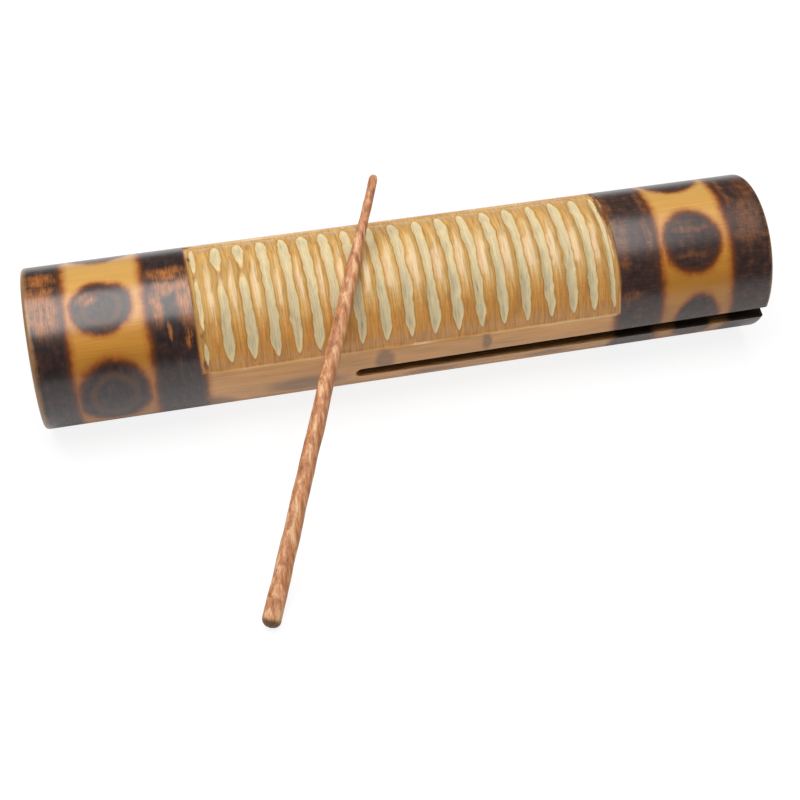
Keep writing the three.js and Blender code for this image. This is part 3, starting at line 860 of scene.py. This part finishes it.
def notch_cut(tree, given, spot, share):
    """How deep the nearest notch cuts at a point, and how far the point is from the notch's middle."""
    number, from_end, middle = nearest_notch(tree, given, spot)
    # Each notch strays, swells and varies in depth by its own noise, in waves of about 10 mm.
    own = add(tree, MATH, (number, 7.3), operation="MULTIPLY")
    slow = add(tree, MATH, (spot.arc, 105.0), operation="MULTIPLY")
    stray_place = add(tree, COMBINE, (own, slow, given["Seed"]))
    stray = add(tree, NOISE, {"Vector": stray_place, "Scale": 1.0, "Detail": 2.0}, "Color")
    sideways, swell, deeper = add(tree, SEPARATE, (stray,)).node.outputs
    sideways = add(tree, MATH, (sideways, 0.5), operation="SUBTRACT")
    wander = add(tree, MATH, (given["Hand Wander"], 4.0), operation="MULTIPLY")
    middle = add(tree, MATH, (sideways, wander, middle), operation="MULTIPLY_ADD")
    away = add(tree, MATH, (spot.along, middle), operation="SUBTRACT")
    away = add(tree, MATH, (away,), operation="ABSOLUTE")

    # The first and last notches are narrow, where the blade ran against the bands.
    end_width = add(tree, MAP_RANGE, (from_end, 0.0, 1.0, 0.62, 1.0))
    swell = add(tree, MAP_RANGE, (swell, 0.25, 0.75, 0.84, 1.14))
    swell = add(tree, MATH, (swell, end_width), operation="MULTIPLY")
    waist = add(tree, MAP_RANGE, (share, 0.0, 0.8, 0.9, 1.08))
    swell = add(tree, MATH, (swell, waist), operation="MULTIPLY")
    half_width = add(tree, MATH, (given["Width"], 0.5), operation="MULTIPLY")
    half_width = add(tree, MATH, (half_width, swell), operation="MULTIPLY")

    # A notch runs out to a point below and to a blunter one above.
    upper = add(tree, MATH, (spot.angle, 0.0), operation="GREATER_THAN")
    narrow = add(tree, MAP_RANGE, (upper, 0.0, 1.0, 0.65, 0.85))
    narrow = add(tree, MAP_RANGE, {"Value": share, 1: 0.8, 2: 1.0, 3: 1.0, 4: narrow})
    half_width = add(tree, MATH, (half_width, narrow), operation="MULTIPLY")
    run_out = add(tree, MAP_RANGE, (upper, 0.0, 1.0, 5.0, 6.0))
    run_out = add(tree, MATH, (share, run_out), operation="POWER")
    run_out = add(tree, MATH, (1.0, run_out), operation="SUBTRACT")
    floor = add(tree, MATH, (run_out, given["Depth"]), operation="MULTIPLY")
    deeper = add(tree, MATH, (deeper, 0.5), operation="SUBTRACT")
    floor = add(tree, MATH, (deeper, 0.0007, floor), operation="MULTIPLY_ADD")
    floor = skipped_depth(tree, given, spot, number, floor)

    # Its section is close to a parabola.
    rise = add(tree, MATH, (away, half_width), operation="DIVIDE")
    rise = add(tree, MATH, (rise, 1.9), operation="POWER")
    rise = add(tree, MATH, (rise, given["Depth"]), operation="MULTIPLY")
    return add(tree, MATH, (floor, rise), operation="SUBTRACT"), away


def ridge_flank(tree, given, share, away):
    """How far a point lies down the rounded flank of a ridge, from 0 on its crest to 1 in the notch."""
    wave = add(tree, MATH, (away, given["Pitch"]), operation="DIVIDE")
    wave = add(tree, MATH, (wave, 0.5), operation="MINIMUM")
    wave = add(tree, MATH, (wave, 2 * math.pi), operation="MULTIPLY")
    wave = add(tree, MATH, (wave,), operation="COSINE")
    wave = add(tree, MATH, (wave, 0.5, 0.5), operation="MULTIPLY_ADD")
    fade = add(tree, MAP_RANGE, (share, 0.62, 1.02, 1.0, 0.0), **SMOOTH)
    return add(tree, MATH, (wave, fade), operation="MULTIPLY")


def notch_tree():
    """Geometry nodes that shave the panel and cut the row of notches into the blank."""
    tree, given = geometry_tree("notch row", {
        "Axis": "Vector", "Radius": "Float", "Count": "Int", "Pitch": "Float", "Row Offset": "Float",
        "Width": "Float", "Depth": "Float", "Centre Angle": "Float", "Half Angle": "Float",
        "Hollow Depth": "Float", "Shave Depth": "Float", "Panel Half Angle": "Float",
        "Panel Start": "Float", "Panel End": "Float", "Hand Wander": "Float", "Seed": "Float",
        "Skin": "Material", "Sawn": "Material", "Bore": "Material"})
    spot = place_on_culm(tree, given)
    inset = panel_inset(tree, given, spot)
    share = add(tree, MATH, (spot.turned, given["Half Angle"]), operation="DIVIDE")
    cut, away = notch_cut(tree, given, spot, share)
    flank = ridge_flank(tree, given, share, away)
    hollow = add(tree, MATH, (flank, given["Hollow Depth"]), operation="MULTIPLY")

    # The hollows and notches are sunk below the shaved panel, and only the outer skin near it is cut.
    edge_width, edge_overlap, ridge_rounding, margin = 0.0007, 0.0002, 0.0003, 0.002
    shaved = add(tree, MAP_RANGE, (
        inset, -edge_overlap, edge_width, 0.0, given["Shave Depth"]), **SMOOTH)
    in_panel = add(tree, MAP_RANGE, (inset, 0.0, edge_width))
    sunk = add(tree, MATH, (hollow, cut, ridge_rounding), operation="SMOOTH_MAX")
    sunk = add(tree, MATH, (sunk, in_panel, shaved), operation="MULTIPLY_ADD")
    sunk = add(tree, MATH, (sunk, -1.0), operation="MULTIPLY")
    inward = add(tree, VECTOR_MATH, {0: spot.outward, "Scale": sunk}, operation="SCALE")
    near_panel = add(tree, COMPARE, {"A": inset, "B": -margin}, operation="GREATER_THAN")
    near_panel = add(tree, "FunctionNodeBooleanMath", (near_panel, spot.on_skin), operation="AND")

    # The lacquer's looks follow the cuts: inside the panel, inside a notch, and down a ridge's flank.
    clear = 0.005
    notch = add(tree, MATH, (cut, hollow), operation="SUBTRACT")
    notch = add(tree, "GeometryNodeSwitch", {
        "Switch": near_panel, "False": -clear, "True": notch}, input_type="FLOAT")
    inset = add(tree, "GeometryNodeSwitch", {
        "Switch": spot.on_skin, "False": -clear, "True": inset}, input_type="FLOAT")
    flank = add(tree, MATH, (flank, MM), operation="MULTIPLY")
    cuts = add(tree, COMBINE, (inset, notch, flank))
    cuts = add(tree, VECTOR_MATH, (cuts, (-clear,) * 3), operation="MAXIMUM")
    cuts = add(tree, VECTOR_MATH, {0: cuts, "Scale": 1 / MM}, operation="SCALE")
    shape = add(tree, "GeometryNodeStoreNamedAttribute", {
        "Geometry": given["Geometry"], "Name": "cuts", "Value": cuts},
        data_type="FLOAT_VECTOR", domain="POINT")
    shape = add(tree, "GeometryNodeSetPosition", {
        "Geometry": shape, "Selection": near_panel, "Offset": inward})
    shape = add(tree, "GeometryNodeRealizeInstances", {"Geometry": shape})
    zone = add(tree, "GeometryNodeInputNamedAttribute", {"Name": "zone"}, "Attribute", data_type="INT")
    shape = add(tree, SET_MATERIAL, {"Geometry": shape, "Material": given["Skin"]})
    for number, name in ((SAWN, "Sawn"), (BORE, "Bore")):
        in_zone = add(tree, COMPARE, {"A": zone, "B": number}, data_type="INT", operation="EQUAL")
        shape = add(tree, SET_MATERIAL, {
            "Geometry": shape, "Selection": in_zone, "Material": given[name]})
    add(tree, "NodeGroupOutput", {"Geometry": shape})
    return tree


def grown(piece, tree, values):
    """Runs a tree on a piece, turns the result into a plain mesh and takes the modifier off again."""
    modifier = piece.modifiers.new("shape", "NODES")
    modifier.node_group = tree
    for item in tree.interface.items_tree:
        if item.in_out == "INPUT" and item.name in values:
            modifier[item.identifier] = values[item.name]
    settle(piece)


def settle(piece):
    """Turns a piece and its modifiers into a plain mesh."""
    seen = piece.evaluated_get(bpy.context.evaluated_depsgraph_get())
    mesh = bpy.data.meshes.new_from_object(seen)
    old = piece.data
    piece.modifiers.clear()
    piece.data = mesh
    bpy.data.meshes.remove(old)


def slot_outline(sizes):
    """The slot seen from outside: a rounded blind end, and a mouth with a worn lower corner."""
    half = CULM_LENGTH / 2
    blind, mouth = half - sizes.slot_length, half + CUTTER_SPARE
    drift = (sizes.slot_mouth_angle - sizes.slot_end_angle) / 2 * CULM_RADIUS
    end_half, mouth_half = sizes.slot_end_width / 2, sizes.slot_mouth_width / 2
    bend = [math.pi / 2 + math.pi * i / 16 for i in range(17)]
    outline = [(blind + end_half + end_half * math.cos(a), -drift + end_half * math.sin(a)) for a in bend]
    low, corner = drift - mouth_half, sizes.mouth_corner
    worn = corner * 0.3
    return outline + [
        (half - corner, low), (half - worn, low - worn), (half, low - corner),
        (mouth, low - corner), (mouth, drift + mouth_half)]


def slot_cutter(sizes):
    """A closed solid as large as the slot, wider at the culm's skin so that it eases the slot's lips."""
    corners = [Vector((*place, 0.0)) for place in slot_outline(sizes)]
    count, flare = len(corners), sizes.lip_flare
    # Each level's distance from the axis, and how much wider than the slot the cutter is there.
    levels = (
        (CULM_RADIUS - sizes.wall - CUTTER_SPARE, 0.0), (CULM_RADIUS - flare * 1.4, 0.0),
        (CULM_RADIUS - flare * 0.55, flare * 0.3), (CULM_RADIUS, flare),
        (CULM_RADIUS + 0.001, flare * 2.2))
    tilt = (sizes.slot_end_angle + sizes.slot_mouth_angle) / 2
    up = Vector((0.0, math.sin(tilt), math.cos(tilt)))
    out = Vector((0.0, -math.cos(tilt), math.sin(tilt)))
    points = []
    for level, grow in levels:
        for i, here in enumerate(corners):
            before, after = here - corners[i - 1], corners[(i + 1) % count] - here
            normal = Vector((before.y, -before.x, 0)).normalized()
            normal += Vector((after.y, -after.x, 0)).normalized()
            edge = here + normal.normalized() * grow
            points.append(AXIS + Vector((edge.x, 0, 0)) + up * edge.y + out * level)
    top = (len(levels) - 1) * count
    faces = [list(range(count))[::-1], list(range(top, top + count))]
    for ring in range(len(levels) - 1):
        for i in range(count):
            a, b = ring * count + i, ring * count + (i + 1) % count
            faces.append([a, b, b + count, a + count])
    mesh = bpy.data.meshes.new("slot cutter")
    mesh.from_pydata(points, [], faces)
    return bpy.data.objects.new("slot cutter", mesh)


def recalculate_outward(mesh):
    """Turns a closed mesh's faces outward."""
    shape = bmesh.new()
    shape.from_mesh(mesh)
    bmesh.ops.recalc_face_normals(shape, faces=shape.faces)
    shape.to_mesh(mesh)
    shape.free()


class GUIRO_OT_make_culm(bpy.types.Operator):
    """Makes the notched and slotted bamboo culm"""

    bl_idname = "guiro.make_culm"
    bl_label = "Make Culm"

    def execute(self, context):
        sizes = context.scene.guiro_culm
        marks = burnt_marks()
        skin, sawn, bore = lacquered_bamboo(sizes, marks), sawn_bamboo(marks), bare_bamboo()
        blank = culm_blank(sizes)
        recalculate_outward(blank)
        culm = bpy.data.objects.new("burnt_bamboo_culm", blank)
        context.scene.collection.objects.link(culm)
        panel_start, panel_end = panel_ends(sizes)
        grown(culm, notch_tree(), {
            "Axis": tuple(AXIS), "Radius": CULM_RADIUS, "Count": sizes.notch_count,
            "Pitch": sizes.notch_pitch, "Row Offset": sizes.row_offset, "Width": sizes.notch_width,
            "Depth": sizes.notch_depth, "Centre Angle": sizes.notch_centre,
            "Half Angle": sizes.notch_half_angle, "Hollow Depth": sizes.hollow_depth,
            "Shave Depth": sizes.shave_depth, "Panel Half Angle": sizes.panel_half_angle,
            "Panel Start": panel_start, "Panel End": panel_end, "Hand Wander": sizes.hand_wander,
            "Seed": float(sizes.seed), "Skin": skin, "Sawn": sawn, "Bore": bore,
        })
        cutter = slot_cutter(sizes)
        recalculate_outward(cutter.data)
        context.scene.collection.objects.link(cutter)
        for material in (skin, sawn):
            cutter.data.materials.append(material)
        for face in cutter.data.polygons:
            face.material_index = SAWN
        slot = culm.modifiers.new("slot", "BOOLEAN")
        slot.operation, slot.solver, slot.object = "DIFFERENCE", "MANIFOLD", cutter
        settle(culm)
        bpy.data.objects.remove(cutter)
        culm.data.set_sharp_from_angle(angle=SHARP)
        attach(culm, "guiro")
        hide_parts("bamboo_culm")
        return {"FINISHED"}


def rounded_ends(tree, given, radius, from_butt):
    """A stick's radius with both of its ends rounded to a quarter of an ellipse."""
    from_tip = add(tree, MATH, (given["Length"], from_butt), operation="SUBTRACT")
    for from_end, rounding in ((from_butt, "Butt Rounding"), (from_tip, "Tip Rounding")):
        near = add(tree, MATH, (from_end, given[rounding]), operation="DIVIDE")
        near = add(tree, MATH, (1.0, near), operation="SUBTRACT")
        near = add(tree, MATH, (near, 0.0), operation="MAXIMUM")
        near = add(tree, MATH, (near, 2.0), operation="POWER")
        near = add(tree, MATH, (1.0, near), operation="SUBTRACT")
        near = add(tree, MATH, (near,), operation="SQRT")
        near = add(tree, MATH, (near, 0.02), operation="MAXIMUM")
        radius = add(tree, MATH, (radius, near), operation="MULTIPLY")
    return radius


def whittled(tree, given, shape):
    """A round stick along Z with the knife's flats cut into its side, clear of its ends."""
    place = add(tree, "GeometryNodeInputPosition")
    # The flats are about 4 mm across and 17 mm long.
    stretched = add(tree, VECTOR_MATH, (place, (230.0, 230.0, 60.0)), operation="MULTIPLY")
    seeded = add(tree, COMBINE, (given["Seed"], given["Seed"], given["Seed"]))
    stretched = add(tree, VECTOR_MATH, (stretched, seeded), operation="ADD")
    flats = add(tree, NOISE, {"Vector": stretched, "Scale": 1.0, "Detail": 1.5})
    flats = add(tree, MAP_RANGE, (flats, 0.35, 0.7))
    inward = add(tree, MATH, (flats, given["Whittling"]), operation="MULTIPLY")
    inward = add(tree, MATH, (inward, -1.0), operation="MULTIPLY")
    move = add(tree, VECTOR_MATH, (place, (1.0, 1.0, 0.0)), operation="MULTIPLY")
    move = add(tree, VECTOR_MATH, (move,), operation="NORMALIZE")
    move = add(tree, VECTOR_MATH, {0: move, "Scale": inward}, operation="SCALE")
    from_butt = add(tree, SEPARATE, (place,), "Z")
    clear = add(tree, MATH, (given["Length"], from_butt), operation="SUBTRACT")
    clear = add(tree, MATH, (clear, from_butt), operation="MINIMUM")
    clear = add(tree, MAP_RANGE, (clear, 0.0005, 0.004))
    move = add(tree, VECTOR_MATH, {0: move, "Scale": clear}, operation="SCALE")
    return add(tree, "GeometryNodeSetPosition", {"Geometry": shape, "Offset": move})


def stick_tree():
    """Geometry nodes that loft the scraper along a line, whittle it and lay it in its place."""
    tree, given = geometry_tree("whittled stick", {
        "Base": "Vector", "Turn": "Rotation", "Length": "Float", "Butt Diameter": "Float",
        "Butt Rounding": "Float", "Tip Rounding": "Float", "Whittling": "Float", "Seed": "Float",
        "Wood": "Material"})
    line = add(tree, "GeometryNodeCurvePrimitiveLine", {"End": add(tree, COMBINE, {"Z": given["Length"]})})
    line = add(tree, "GeometryNodeResampleCurve", {"Curve": line, "Count": 500})
    share = add(tree, "GeometryNodeSplineParameter", out="Factor")
    # The share of the length, and the thickness there as a share of the butt's.
    taper = add(tree, "ShaderNodeFloatCurve", {"Value": share}, stops=(
        (0, 1.0), (0.23, 0.893), (0.45, 0.857), (0.61, 0.807), (0.82, 0.659), (0.93, 0.505), (1, 0.49)))
    radius = add(tree, MATH, (taper, given["Butt Diameter"]), operation="MULTIPLY")
    radius = add(tree, MATH, (radius, 0.5), operation="MULTIPLY")
    from_butt = add(tree, MATH, (share, given["Length"]), operation="MULTIPLY")
    radius = rounded_ends(tree, given, radius, from_butt)
    ring = add(tree, "GeometryNodeCurvePrimitiveCircle", {"Resolution": 32, "Radius": 1.0})
    shape = add(tree, "GeometryNodeCurveToMesh", {
        "Curve": line, "Profile Curve": ring, "Scale": radius, "Fill Caps": True})
    shape = whittled(tree, given, shape)
    shape = add(tree, "GeometryNodeTransform", {
        "Geometry": shape, "Translation": given["Base"], "Rotation": given["Turn"]})
    shape = add(tree, "GeometryNodeRealizeInstances", {"Geometry": shape})
    shape = add(tree, SET_MATERIAL, {"Geometry": shape, "Material": given["Wood"]})
    add(tree, "NodeGroupOutput", {"Geometry": shape})
    return tree


def cad_stick():
    """The scraper's butt and its direction, length included, read off the frame's plain stick."""
    points = np.array([v.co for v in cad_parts["scraper"].data.vertices])
    points = np.unique(points.round(7), axis=0)
    middle = points.mean(axis=0)
    direction = np.linalg.svd(points - middle, full_matrices=False)[2][0]
    direction *= math.copysign(1, direction[1])
    reach = (points - middle) @ direction
    return Vector(middle + reach.min() * direction), Vector(direction) * float(reach.max() - reach.min())


class GUIRO_OT_make_scraper(bpy.types.Operator):
    """Makes the whittled scraper that strokes the notches"""

    bl_idname = "guiro.make_scraper"
    bl_label = "Make Scraper"

    def execute(self, context):
        sizes = context.scene.guiro_scraper
        base, length = cad_stick()
        scraper = bpy.data.objects.new("whittled_scraper", bpy.data.meshes.new("scraper"))
        context.scene.collection.objects.link(scraper)
        grown(scraper, stick_tree(), {
            "Base": tuple(base), "Turn": tuple(length.to_track_quat("Z", "Y").to_euler()),
            "Length": length.length, "Butt Diameter": sizes.butt_diameter,
            "Butt Rounding": sizes.butt_rounding, "Tip Rounding": sizes.tip_rounding,
            "Whittling": sizes.whittling, "Seed": float(sizes.seed),
            "Wood": oiled_hardwood(sizes, base, length),
        })
        scraper.data.set_sharp_from_angle(angle=SHARP)
        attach(scraper, "scraper")
        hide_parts("scraper")
        return {"FINISHED"}


class GUIRO_OT_set_stage(bpy.types.Operator):
    """Sets up the white floor, the soft light and the camera"""

    bl_idname = "guiro.set_stage"
    bl_label = "Set Stage"

    def execute(self, context):
        scene, stage = context.scene, context.scene.guiro_stage
        half = 12.0
        mesh = bpy.data.meshes.new("floor")
        mesh.from_pydata(
            [(-half, -half, 0), (half, -half, 0), (half, half, 0), (-half, half, 0)], [], [(0, 1, 2, 3)])
        mesh.materials.append(floor_paint())
        floor = bpy.data.objects.new("floor", mesh)
        scene.collection.objects.link(floor)

        softbox = bpy.data.lights.new("softbox", "AREA")
        softbox.shape = "RECTANGLE"
        softbox.size, softbox.size_y = stage.softbox_size
        softbox.energy = stage.softbox_radiance * math.pi * softbox.size * softbox.size_y
        light = bpy.data.objects.new("softbox", softbox)
        light.location = stage.softbox_place
        scene.collection.objects.link(light)

        # The room is dim as a light, and white to the camera past the floor's edge.
        world = bpy.data.worlds.new("room")
        world.use_nodes = True
        seen, mirrored = seen_and_mirrored(world.node_tree, 0.1)
        white = add(world.node_tree, MATH, (seen, mirrored), operation="MAXIMUM")
        white = add(world.node_tree, MATH, (white, stage.room_light), operation="MAXIMUM")
        background = world.node_tree.nodes["Background"]
        background.inputs["Color"].default_value = WHITE
        world.node_tree.links.new(white, background.inputs["Strength"])
        scene.world = world

        camera = bpy.data.objects.new("camera", bpy.data.cameras.new("camera"))
        camera.data.sensor_width, camera.data.lens = 36, stage.camera_lens
        camera.location, camera.rotation_euler = stage.camera_place, stage.camera_turn
        scene.collection.objects.link(camera)
        scene.camera = camera
        scene.view_settings.view_transform = "Standard"
        return {"FINISHED"}


# What each group of settings in the scene is made from, and the operator that uses it.
PIECES = {
    "guiro_culm": (GuiroCulmSettings, GUIRO_OT_make_culm),
    "guiro_scraper": (GuiroScraperSettings, GUIRO_OT_make_scraper),
    "guiro_stage": (GuiroStageSettings, GUIRO_OT_set_stage),
}


class GUIRO_PT_panel(bpy.types.Panel):
    """Lists the operators and their sizes in the sidebar"""

    bl_idname = "GUIRO_PT_panel"
    bl_label = "Bamboo Guiro"
    bl_space_type = "VIEW_3D"
    bl_region_type = "UI"
    bl_category = "Guiro"

    def draw(self, context):
        for group, (settings, operator) in PIECES.items():
            box = self.layout.box()
            box.operator(operator.bl_idname)
            for name in settings.__annotations__:
                box.prop(getattr(context.scene, group), name)


CLASSES = (*(item for pair in PIECES.values() for item in pair), GUIRO_PT_panel)


def register():
    for item in CLASSES:
        bpy.utils.register_class(item)
    for name, (settings, operator) in PIECES.items():
        setattr(bpy.types.Scene, name, PointerProperty(type=settings))


def unregister():
    for name in PIECES:
        delattr(bpy.types.Scene, name)
    for item in reversed(CLASSES):
        bpy.utils.unregister_class(item)


def main():
    register()
    bpy.ops.guiro.set_stage()
    bpy.ops.guiro.make_culm()
    bpy.ops.guiro.make_scraper()


if __name__ == "__main__":
    main()
